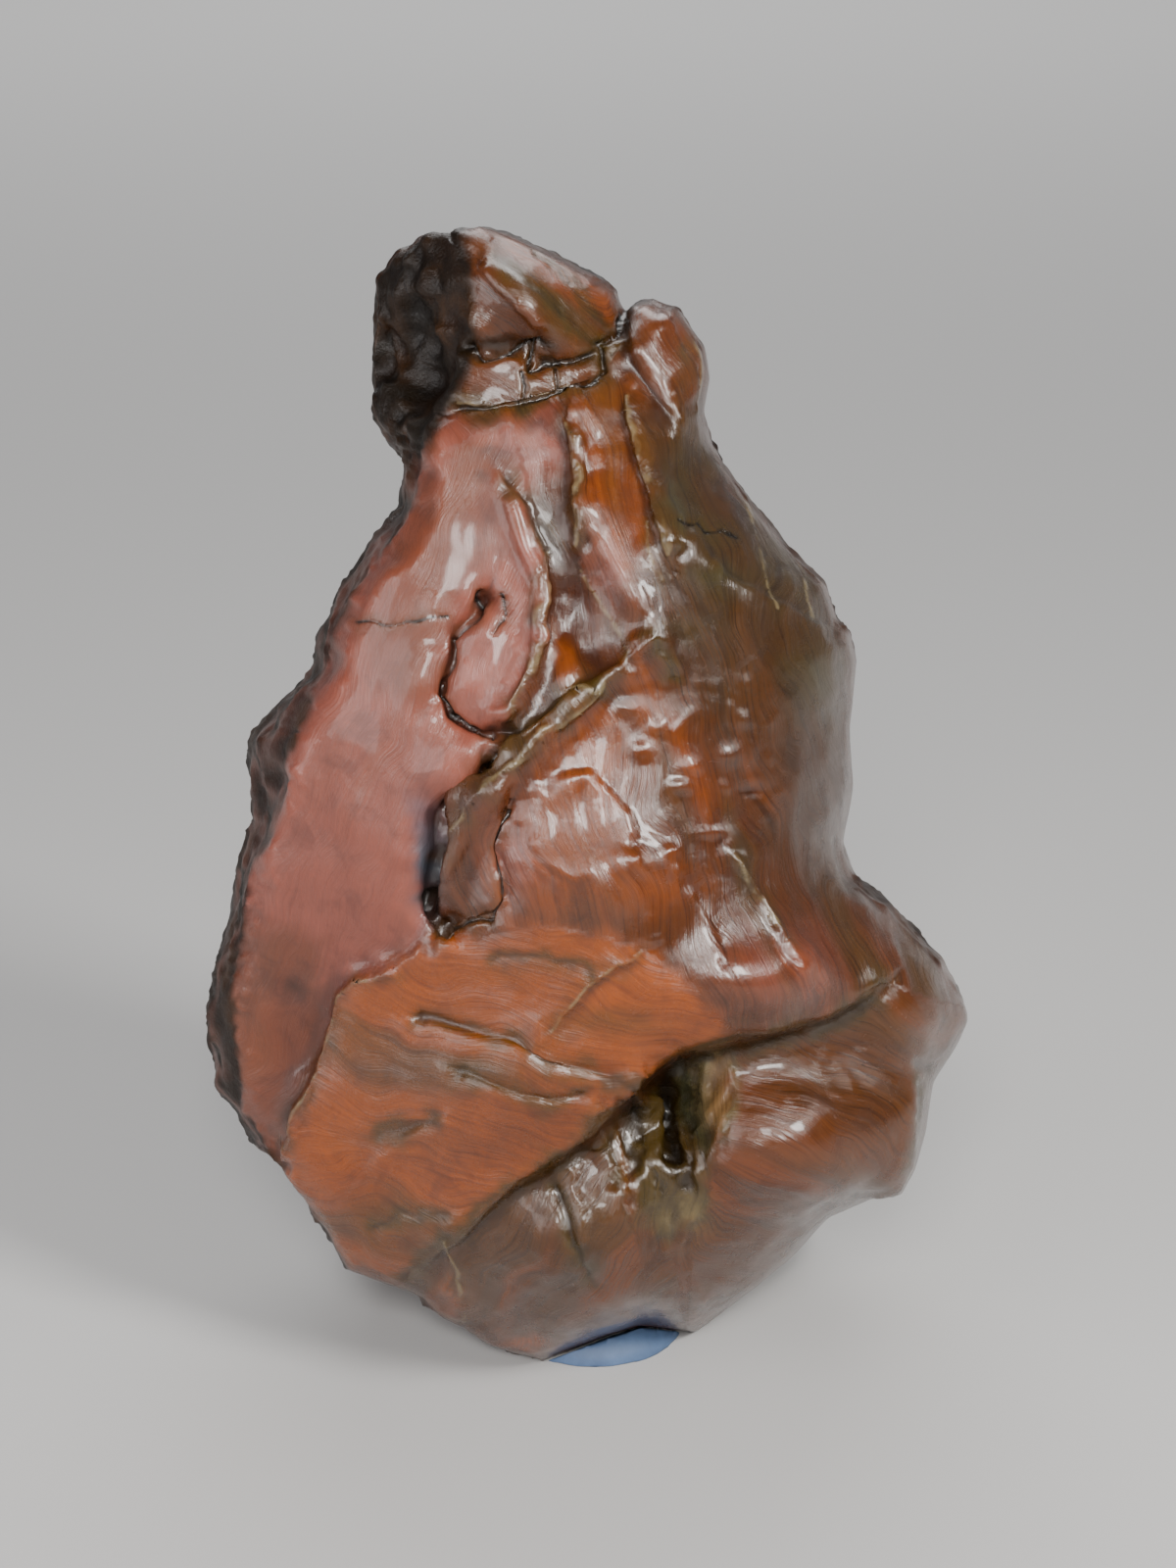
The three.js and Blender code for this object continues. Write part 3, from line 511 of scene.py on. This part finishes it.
def stream_share(points, spots):
    """A value that stays the same along the streaks and changes by about 1 for each pixel across them."""
    def across(direction):
        return (spots[:, 0] * direction[1] - spots[:, 1] * direction[0]) / math.hypot(*direction)

    stream = across(STREAM)
    for direction, outline in STREAMS:
        stream = np.where(within(spots, outline), across(direction), stream)
    bends = 26 * wander(points, size=14, seed=19)
    kinks = 7 * wander(points, size=5, seed=20)
    return stream + bends + kinks


def step_share(spots, sharp, gentle, line):
    """1 on a line, falling off sharply to one side of it, gently to the other, and to 0 at its ends."""
    best = np.full(len(spots), np.inf)
    side = np.zeros(len(spots))
    for a, b in zip(line, line[1:]):
        a, way = np.array(a, float), np.subtract(b, a)
        share = np.clip((spots - a) @ way / (way @ way), 0, 1)
        offset = spots - a - share[:, None] * way
        distance = np.linalg.norm(offset, axis=1)
        nearer = distance < best
        best[nearer] = distance[nearer]
        side[nearer] = (way[0] * offset[:, 1] - way[1] * offset[:, 0])[nearer]
    tips = np.array([line[0], line[-1]], float)
    ends = np.minimum(*[np.linalg.norm(spots - tip, axis=1) for tip in tips])
    reach = np.where(side > 0, gentle, sharp)
    return np.exp(-(best / reach) ** 2) * ease(ends, 0, 16)


def fray(points, spots, reach):
    """Spots moved about by up to reach pixels, so that drawn lines and edges run unevenly."""
    shifts = [wander(points, size=4, seed=seed) + 0.5 * wander(points, size=1.6, seed=seed + 2)
              for seed in (15, 30)]
    return spots + reach * np.stack(shifts, axis=1)


def ridged(values):
    """Noise turned into sharp crests."""
    return 1 - 2 * np.sqrt(np.abs(values) + 0.01)


def streaked(points, stream, size, stretch, seed):
    """Noise drawn out along the streaks."""
    spread_out = np.c_[stream * PIXEL, points[:, 0] / stretch, points[:, 2] / stretch]
    return wander(spread_out, size, seed)


def drawn_up(points, size, seed, share):
    """Noise drawn out in height: share is how much of the height it sees."""
    return wander(points * np.array([1, 1, share]), size, seed)


def relief(points, spots, stream, seen, crust):
    """How far the fine skin stands out of the smoothed solid, in mm."""
    rise = np.zeros(len(points))
    frayed = fray(points, spots, reach=3)
    for height, width, line in PALE_AND_HIGHLIT_RIDGES + CRACKS + OLIVE_WRINKLES:
        rise += height * seen * line_share(frayed, line, width)
    for height, sharp, gentle, line in STEPS:
        rise += height * seen * step_share(frayed, sharp, gentle, line)
    for centre, half, height in KNOBS:
        rise += height * seen * patch_share(spots, centre, half)

    face = (1 - crust) * seen
    on_slab = area_share(spots, SLAB, 20)
    rise += (1 - crust) * SWELL * wander(points, size=11, seed=1)
    calm = 1 - 0.75 * on_slab - 0.25 * area_share(spots, CAPE, 20)
    streaks = STREAK * ridged(streaked(points, stream, size=4.5, stretch=5, seed=2))
    fine_streaks = FINE_STREAK * ridged(streaked(points, stream, size=1.8, stretch=5, seed=10))
    rise += face * calm * (streaks + fine_streaks)
    shiny = np.maximum(*[area_share(spots, outline, 20) for outline in CRACKLED])
    crackle = CRACKLE * ridged(wander(points, size=6, seed=21))
    fine_crackle = FINE_CRACKLE * ridged(wander(points, size=2.4, seed=22))
    rise += face * shiny * (crackle + fine_crackle)
    pimply = area_share(spots, PIMPLES, 30)
    rise += face * pimply * PIMPLE * ease(wander(points, size=2.4, seed=11), 0.15, 0.6)

    fibrous = area_share(spots, RECESS, 14)
    fibres = FIBRE * drawn_up(points, size=1.5, seed=12, share=0.18)
    rise += seen * fibrous * (fibres + FIBRE_GRAIN * wander(points, size=2.5, seed=13))
    edge = line_share(spots, SLAB_EDGE, 22)
    rise += face * edge * NIBBLE * ease(wander(points, size=1.6, seed=14), 0.05, 0.6)
    rise += face * on_slab * SLAB_WAVE * drawn_up(points, size=4, seed=27, share=0.6)

    rough = CRUST_CREST * ridged(drawn_up(points, size=6, seed=3, share=0.45))
    rough += CRUST_LUMP * drawn_up(points, size=2.8, seed=4, share=0.5)
    rough += CRUST_GRAIN * wander(points, size=1.5, seed=5)
    pocked = area_share(spots, HEAD_HOLLOW, 7) * seen
    caves = -CAVE * ease(drawn_up(points, size=7, seed=23, share=0.6), 0.05, 0.5)
    caves += CAVE_LUMP * ease(wander(points, size=4, seed=24), 0.1, 0.5)
    return rise + crust * (rough + pocked * caves)


def tint(points, spots, stream, seen, crust):
    """The colour of each point, before the fine veins."""
    mixed = 0.5 + 0.5 * wander(points, size=16, seed=7)
    colour = linear(RUST) + (linear(BROWN) - linear(RUST)) * (0.25 + 0.5 * mixed)[:, None]

    def cover(share, shade):
        return colour + (linear(shade) - colour) * share[:, None]

    frayed = fray(points, spots, reach=12)
    for shade, strength, soft, outline in AREAS:
        colour = cover(strength * seen * area_share(frayed, outline, soft), shade)
    for shade, strength, centre, half in PATCHES:
        colour = cover(strength * seen * patch_share(frayed, centre, half), shade)

    calm = 1 - 0.8 * area_share(spots, SLAB, 20)
    low = area_share(spots, LOBES, 20)
    green = ease(streaked(points, stream, size=7, stretch=6, seed=17), 0.12, 0.45)
    green *= calm * seen * (1 - 0.6 * low)
    colour = cover(0.5 * green, OLIVE)
    bright = ease(streaked(points, stream, size=5, stretch=6, seed=18), 0.15, 0.5) * calm * seen
    # Fewer bright streaks on the right side, partly painted shade.
    shaded = area_share(spots, RIGHT_SIDE, 30)
    colour = cover(0.45 * bright * (1 - 0.85 * shaded) * (1 - 0.5 * low), ORANGE)

    # Olive along the wrinkles: partly the stone's olive streaks, partly painted shade in the creases.
    for _, width, line in OLIVE_WRINKLES:
        colour = cover(0.7 * seen * line_share(frayed, line, width * 2), OLIVE)
    for _, _, line in PALE_AND_HIGHLIT_RIDGES + CRACKS:
        colour = cover(0.35 * seen * line_share(frayed, line, 8), OLIVE)

    colour = cover(crust * 0.95, CRUST_AND_SHADE)
    patchy = wander(points, size=9, seed=8) + 0.5 * wander(points, size=3, seed=26)
    colour = cover(crust * 0.55 * ease(patchy, -0.1, 0.7), CRUST_BROWN)
    # Painted shade in the dark hollows, in the crust's colour.
    for centre, half in SHADES:
        colour = cover(0.85 * seen * patch_share(spots, centre, half), CRUST_AND_SHADE)
    return colour


def nearest_of(spots, lines):
    """Distance to the nearest of some lines."""
    return np.minimum.reduce([line_distance(spots, line) for line in lines])


def new_material(name):
    material = bpy.data.materials.new(name)
    material.use_nodes = True
    return material, material.node_tree, material.node_tree.nodes["Principled BSDF"]


def node(tree, kind, values=(), **settings):
    """A new shader node; values are (input, value or output socket) pairs."""
    made = tree.nodes.new(kind)
    for key, value in settings.items():
        setattr(made, key, value)
    for key, value in values:
        if isinstance(value, bpy.types.NodeSocket):
            tree.links.new(value, made.inputs[key])
        else:
            made.inputs[key].default_value = value
    return made


def attribute(tree, name, output="Fac"):
    """A value that the mesh stores."""
    return node(tree, "ShaderNodeAttribute", attribute_name=name).outputs[output]


def maths(tree, operation, a, b=0.0):
    return node(tree, "ShaderNodeMath", [(0, a), (1, b)], operation=operation).outputs[0]


def spread(tree, value, low, high, to_low=0.0, to_high=1.0):
    """A value from low to high turned into one from to_low to to_high."""
    keys = [("Value", value), ("From Min", low), ("From Max", high), ("To Min", to_low), ("To Max", to_high)]
    return node(tree, "ShaderNodeMapRange", keys).outputs["Result"]


def mix(tree, share, a, b, blend="MIX"):
    """Colour a, covered by a share of colour b."""
    made = node(tree, "ShaderNodeMix", data_type="RGBA", blend_type=blend)
    for key, value in (("Factor", share), ("A", a), ("B", b)):
        socket = next(s for s in made.inputs if s.name == key and s.enabled)
        if isinstance(value, bpy.types.NodeSocket):
            tree.links.new(value, socket)
        else:
            socket.default_value = value
    return next(s for s in made.outputs if s.enabled)


def rgba(colour):
    return (*linear(colour), 1)


def cloud(tree, vector, scale, detail=4.0, roughness=0.6, distortion=0.0):
    """Noise from 0 to 1."""
    keys = [("Vector", vector), ("Scale", scale), ("Detail", detail), ("Roughness", roughness),
            ("Distortion", distortion)]
    return node(tree, "ShaderNodeTexNoise", keys).outputs["Fac"]


def agate_material():
    """Waxy, wind-polished jasper with fine veins, and a rough dark crust."""
    material, tree, surface = new_material("agate")
    place = node(tree, "ShaderNodeTexCoord").outputs["Object"]
    crust = attribute(tree, "crust")
    polished = maths(tree, "SUBTRACT", 1.0, crust)
    hollow = attribute(tree, "hollow")
    parts = node(tree, "ShaderNodeSeparateXYZ", [("Vector", place)]).outputs
    stream = maths(tree, "MULTIPLY", attribute(tree, "stream"), 0.35)
    drawn = [maths(tree, "MULTIPLY", parts[k], 60.0) for k in (0, 2)]
    flow = node(tree, "ShaderNodeCombineXYZ", [(0, stream), (1, drawn[0]), (2, drawn[1])]).outputs[0]
    streaks = cloud(tree, flow, scale=1.0, detail=6.0, roughness=0.65, distortion=0.35)
    threads = cloud(tree, flow, scale=3.1, detail=5.0, roughness=0.6, distortion=0.2)
    speckle = cloud(tree, place, scale=900.0, detail=3.0, roughness=0.6)
    mottle = cloud(tree, place, scale=170.0, detail=6.0, roughness=0.65, distortion=0.6)

    base = attribute(tree, "tint", "Color")
    dark = mix(tree, 1.0, base, DARKER, "MULTIPLY")
    light = mix(tree, 1.0, base, LIGHTER, "MULTIPLY")
    dull = attribute(tree, "dull")
    lively = spread(tree, dull, 0.0, 1.0, 1.0, 0.3)
    deep = maths(tree, "MULTIPLY", spread(tree, streaks, 0.5, 0.64, 0.0, 0.7), lively)
    colour = mix(tree, deep, base, dark)
    pale = maths(tree, "MULTIPLY", spread(tree, streaks, 0.47, 0.34, 0.0, 0.45), lively)
    colour = mix(tree, pale, colour, light)
    colour = mix(tree, spread(tree, mottle, 0.53, 0.66, 0.0, 0.5), colour, dark)
    colour = mix(tree, spread(tree, mottle, 0.44, 0.34, 0.0, 0.3), colour, light)
    off_middle = maths(tree, "ABSOLUTE", maths(tree, "SUBTRACT", threads, 0.5))
    thread = spread(tree, off_middle, 0.0, 0.014, 0.45, 0.0)
    thread = maths(tree, "MULTIPLY", maths(tree, "MULTIPLY", thread, polished), lively)
    colour = mix(tree, thread, colour, rgba(OLIVE))
    colour = mix(tree, spread(tree, speckle, 0.6, 0.75, 0.0, 0.3), colour, dark)
    # Painted shade in the hollows and painted light on the crests.
    colour = mix(tree, spread(tree, hollow, 0.1, 0.9, 0.0, 0.8), colour, dark)
    colour = mix(tree, spread(tree, hollow, -0.15, -0.8, 0.0, 0.35), colour, light)
    # Pale along the ridges: partly the stone's pale veins, partly painted highlight.
    pale_and_highlight = spread(tree, attribute(tree, "pale_and_highlight"), 0.6, 2.6, 1.0, 0.0)
    broken = spread(tree, cloud(tree, place, scale=240.0, detail=3.0), 0.42, 0.62, 0.0, 0.5)
    colour = mix(tree, maths(tree, "MULTIPLY", pale_and_highlight, broken), colour, rgba(CREAM_AND_HIGHLIGHT))
    # Painted shade along the cracks, in the crust's colour.
    crack = spread(tree, attribute(tree, "crack"), 0.6, 2.6, 1.0, 0.0)
    gaps = spread(tree, cloud(tree, place, scale=180.0, detail=3.0), 0.38, 0.5, 0.35, 0.95)
    colour = mix(tree, maths(tree, "MULTIPLY", crack, gaps), colour, rgba(CRUST_AND_SHADE))
    tree.links.new(colour, surface.inputs["Base Color"])

    rough = spread(tree, mottle, 0.35, 0.65, 0.16, 0.32)
    rough = maths(tree, "ADD", rough, maths(tree, "MULTIPLY", dull, 0.12))
    rough = maths(tree, "ADD", rough, maths(tree, "MULTIPLY", crust, 0.16))
    tree.links.new(rough, surface.inputs["Roughness"])
    tree.links.new(spread(tree, crust, 0.0, 1.0, 0.25, 0.0), surface.inputs["Coat Weight"])
    surface.inputs["Coat Roughness"].default_value = 0.12
    tree.links.new(spread(tree, crust, 0.0, 1.0, 0.5, 0.25), surface.inputs["Specular IOR Level"])

    pits = cloud(tree, place, scale=1100.0, detail=4.0, roughness=0.65)
    pitting = maths(tree, "MULTIPLY", pits, spread(tree, crust, 0.0, 1.0, 0.3, 1.3))
    height = maths(tree, "ADD", streaks, maths(tree, "MULTIPLY", threads, 0.35))
    height = maths(tree, "MULTIPLY", height, polished)
    height = maths(tree, "ADD", height, pitting)
    bump = node(tree, "ShaderNodeBump", [("Strength", 0.32), ("Distance", 0.0007), ("Height", height)])
    tree.links.new(bump.outputs["Normal"], surface.inputs["Normal"])
    return material


def putty_material():
    """Matt blue-grey putty with a faint unevenness."""
    material, tree, surface = new_material("putty")
    place = node(tree, "ShaderNodeTexCoord").outputs["Object"]
    patchy = cloud(tree, place, scale=220.0)
    colour = mix(tree, spread(tree, patchy, 0.35, 0.65), rgba(PUTTY), rgba(PUTTY_SHADE))
    tree.links.new(colour, surface.inputs["Base Color"])
    surface.inputs["Roughness"].default_value = 0.6
    height = cloud(tree, place, scale=500.0)
    bump = node(tree, "ShaderNodeBump", [("Strength", 0.3), ("Distance", 0.0004), ("Height", height)])
    tree.links.new(bump.outputs["Normal"], surface.inputs["Normal"])
    return material


def make_stone():
    """The fine skin, with its relief and what its material reads."""
    piece = fine_copy("stone", "agate_skin", HALVINGS)
    mesh = piece.data
    points = smoothed(mesh, places(mesh), SMOOTH_ROUNDS)
    put_places(mesh, points)
    pale_and_highlit_lines = [line for _, _, line in PALE_AND_HIGHLIT_RIDGES]
    crack_lines = [line for _, _, line in CRACKS]
    for reach in REFINE_REACHES:
        refine(mesh, pale_and_highlit_lines + crack_lines, reach)

    points = places(mesh)
    facing = normals(mesh)
    foot = (points[:, 2] < FOOT_HEIGHT) & (facing[:, 2] < -0.5)
    spots = pixels_of(points)
    stream = stream_share(points, spots)
    seen = seen_share(points, facing)
    crust = crust_share(points, spots, facing, seen)
    rise = relief(points, spots, stream, seen, crust)
    moved = points + facing * rise[:, None] * MM
    moved[foot, 2] = 0
    moved[:, 2] = np.maximum(moved[:, 2], 0)
    put_places(mesh, moved)
    blurred = smoothed(mesh, moved, HOLLOW_ROUNDS)
    hollow = ((blurred - moved) * normals(mesh)).sum(axis=1) / HOLLOW_DEPTH

    colours = tint(points, spots, stream, seen, crust)
    store(mesh, "tint", "FLOAT_COLOR", np.c_[colours, np.ones(len(points))])
    store(mesh, "crust", "FLOAT", crust)
    store(mesh, "hollow", "FLOAT", np.clip(hollow, -1, 1))
    store(mesh, "stream", "FLOAT", stream)
    store(mesh, "dull", "FLOAT", area_share(spots, SLAB, 20) + 0.35 * area_share(spots, CAPE, 20))
    face = (seen > 0.5) & (crust < 0.5)
    frayed = fray(points, spots, reach=3)
    store(mesh, "pale_and_highlight", "FLOAT", np.where(face, nearest_of(frayed, pale_and_highlit_lines), FAR))
    store(mesh, "crack", "FLOAT", np.where(seen > MOSTLY_SEEN, nearest_of(frayed, crack_lines), FAR))
    shade_smooth(mesh)
    mesh.materials.append(agate_material())
    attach(piece, "root")
    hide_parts("stone")


def make_putty():
    piece = fine_copy("putty_pad", "putty_wad", HALVINGS)
    mesh = piece.data
    points = places(mesh)
    base = points[:, 2] < PUTTY_FOOT
    points = smoothed(mesh, points, PUTTY_ROUNDS)
    points[base, 2] = 0
    put_places(mesh, points)
    shade_smooth(mesh)
    mesh.materials.append(putty_material())
    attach(piece, "root")
    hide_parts("putty_pad")


def make_floor():
    mesh = bpy.data.meshes.new("floor")
    corners = [(x * FLOOR_HALF, y * FLOOR_HALF, 0) for x, y in ((-1, -1), (1, -1), (1, 1), (-1, 1))]
    mesh.from_pydata(corners, [], [(0, 1, 2, 3)])
    floor = bpy.data.objects.new("floor", mesh)
    bpy.context.scene.collection.objects.link(floor)
    material, _, surface = new_material("pale floor")
    surface.inputs["Base Color"].default_value = FLOOR_COLOUR
    surface.inputs["Roughness"].default_value = 0.8
    surface.inputs["Specular IOR Level"].default_value = 0.2
    mesh.materials.append(material)


def make_camera():
    data = bpy.data.cameras.new("camera")
    data.lens = LENS
    data.sensor_width = SENSOR
    camera = bpy.data.objects.new("camera", data)
    camera.location = EYE
    camera.rotation_euler = (math.pi / 2 - PITCH, 0, 0)
    bpy.context.scene.collection.objects.link(camera)
    bpy.context.scene.camera = camera


def make_lamp(name, place, size, power, colour, target):
    data = bpy.data.lights.new(name, "AREA")
    data.size = size
    data.energy = power
    data.color = colour
    lamp = bpy.data.objects.new(name, data)
    lamp.location = place
    lamp.rotation_euler = (Vector(target) - Vector(place)).to_track_quat("-Z", "Y").to_euler()
    bpy.context.scene.collection.objects.link(lamp)


def make_sky():
    world = bpy.data.worlds.new("studio")
    world.use_nodes = True
    background = world.node_tree.nodes["Background"].inputs
    background["Color"].default_value = SKY_COLOUR
    background["Strength"].default_value = SKY_STRENGTH
    bpy.context.scene.world = world


make_camera()
make_stone()
make_putty()
make_floor()
for lamp in LAMPS:
    make_lamp(*lamp)
make_sky()
